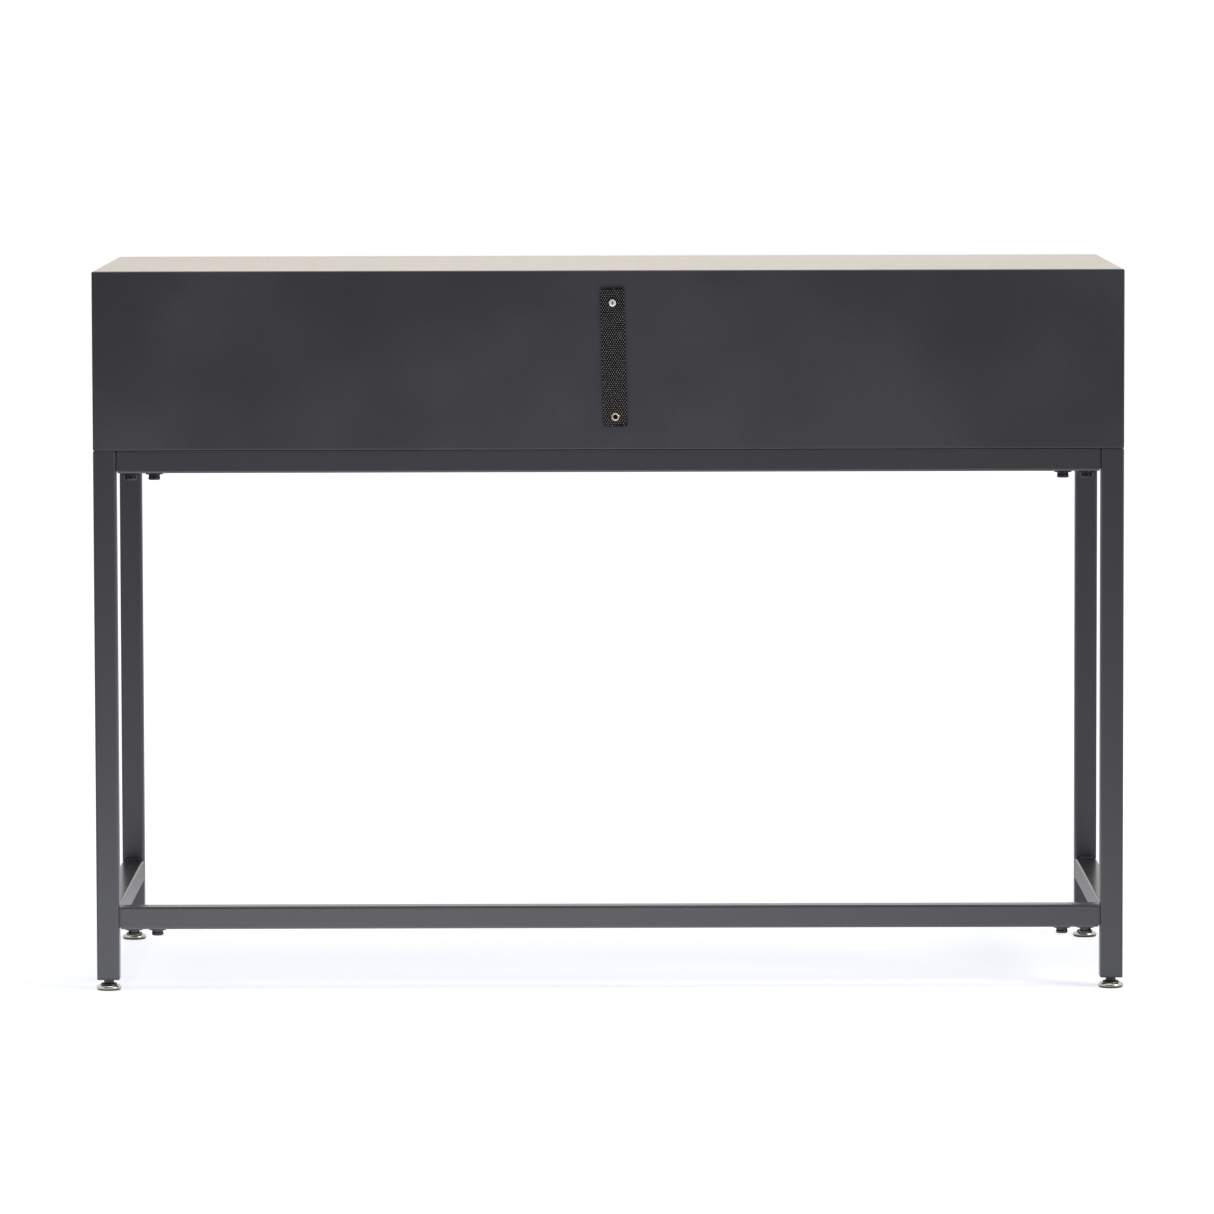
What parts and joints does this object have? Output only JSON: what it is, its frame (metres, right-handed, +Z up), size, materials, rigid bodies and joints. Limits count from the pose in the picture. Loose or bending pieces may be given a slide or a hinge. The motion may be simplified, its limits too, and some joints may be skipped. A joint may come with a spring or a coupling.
{
  "type": "writing desk",
  "caption": "Rectangular writing desk with a shallow case of side-by-side drawers on a bolted square-tube steel frame with levelling glides and an anti-tip strap.",
  "frame": {"origin": "on the floor, under the middle of the whole desk, pulls and strap included", "axes": "+Z up; +X along the desk's width, to the right of a person sitting at it; -Y towards that person, the way the drawers open"},
  "size_m": [1.09, 0.4936, 0.762],
  "materials": {
    "desktop": "matt pale greige wood-grain foil",
    "case_paint": "satin charcoal lacquer on fibreboard",
    "frame_paint": "satin black powder coat",
    "black_fasteners": "black oxide, semi-gloss",
    "zinc_steel": "bright zinc plate",
    "nickel_plate": "bright nickel plate",
    "eyelet_brass": "bright brass",
    "webbing": "matt black woven polypropylene webbing",
    "black_plastic": "moulded matt black nylon",
    "birch_ply": "satin clear-lacquered birch plywood",
    "beech": "bare fluted beech"
  },
  "bodies": {
    "desk": {"top_panel": "desktop", "bottom_panel": "case_paint", "left_side_panel": "case_paint", "right_side_panel": "case_paint", "center_partition": "case_paint", "back_panel": "case_paint", "case_dowels": "beech", "cam_locks": "zinc_steel", "cam_bolts": "zinc_steel", "front_left_leg": "frame_paint", "front_right_leg": "frame_paint", "back_left_leg": "frame_paint", "back_right_leg": "frame_paint", "left_top_side_rail": "frame_paint", "right_top_side_rail": "frame_paint", "left_lower_side_rail": "frame_paint", "right_lower_side_rail": "frame_paint", "back_top_rail": "frame_paint", "back_lower_rail": "frame_paint", "front_top_rail": "frame_paint", "rail_stubs": "frame_paint", "frame_bolts": "black_fasteners", "spring_washers": "black_fasteners", "flat_washers": "black_fasteners", "case_screws": "zinc_steel", "leg_plugs": "black_plastic", "strap_screw": "zinc_steel", "outer_slides": "zinc_steel", "outer_slide_screws": "zinc_steel"},
    "front_left_glide": {"front_left_glide_stem": "black_plastic", "front_left_glide_cup": "nickel_plate"},
    "front_right_glide": {"front_right_glide_stem": "black_plastic", "front_right_glide_cup": "nickel_plate"},
    "back_left_glide": {"back_left_glide_stem": "black_plastic", "back_left_glide_cup": "nickel_plate"},
    "back_right_glide": {"back_right_glide_stem": "black_plastic", "back_right_glide_cup": "nickel_plate"},
    "wall_strap": {"strap": "webbing", "strap_eyelet": "eyelet_brass"},
    "left_drawer": {"left_drawer_front": "case_paint", "left_drawer_left_side": "birch_ply", "left_drawer_right_side": "birch_ply", "left_drawer_back": "birch_ply", "left_drawer_bottom": "birch_ply", "left_drawer_pull": "frame_paint", "left_drawer_screws": "zinc_steel", "left_inner_slides": "zinc_steel"},
    "left_ball_cage": {"left_ball_cages": "zinc_steel", "left_slide_balls": "zinc_steel"},
    "right_drawer": {"right_drawer_front": "case_paint", "right_drawer_left_side": "birch_ply", "right_drawer_right_side": "birch_ply", "right_drawer_back": "birch_ply", "right_drawer_bottom": "birch_ply", "right_drawer_pull": "frame_paint", "right_drawer_screws": "zinc_steel", "right_inner_slides": "zinc_steel"},
    "right_ball_cage": {"right_ball_cages": "zinc_steel", "right_slide_balls": "zinc_steel"}
  },
  "joints": [
    {"name": "left_drawer_slide", "type": "slide", "parent": "desk", "child": "left_drawer", "axis": [0, -1, 0], "range_m": [0, 0.29]},
    {"name": "left_ball_cage_slide", "type": "slide", "parent": "desk", "child": "left_ball_cage", "axis": [0, -1, 0], "range_m": [0, 0.145]},
    {"name": "right_drawer_slide", "type": "slide", "parent": "desk", "child": "right_drawer", "axis": [0, -1, 0], "range_m": [0, 0.29]},
    {"name": "right_ball_cage_slide", "type": "slide", "parent": "desk", "child": "right_ball_cage", "axis": [0, -1, 0], "range_m": [0, 0.145]},
    {"name": "front_left_glide_screw", "type": "slide", "parent": "desk", "child": "front_left_glide", "axis": [0, 0, -1], "range_m": [0, 0.012]},
    {"name": "front_right_glide_screw", "type": "slide", "parent": "desk", "child": "front_right_glide", "axis": [0, 0, -1], "range_m": [0, 0.012]},
    {"name": "back_left_glide_screw", "type": "slide", "parent": "desk", "child": "back_left_glide", "axis": [0, 0, -1], "range_m": [0, 0.012]},
    {"name": "back_right_glide_screw", "type": "slide", "parent": "desk", "child": "back_right_glide", "axis": [0, 0, -1], "range_m": [0, 0.012]},
    {"name": "strap_swing", "type": "hinge", "parent": "desk", "child": "wall_strap", "pos_m": [-0.0045, 0.2422, 0.728], "axis": [0, 1, 0], "range_deg": [-180, 180]}
  ],
  "couplings": [
    {"joint": "left_ball_cage_slide", "follows": "left_drawer_slide", "ratio": 0.5},
    {"joint": "right_ball_cage_slide", "follows": "right_drawer_slide", "ratio": 0.5}
  ]
}
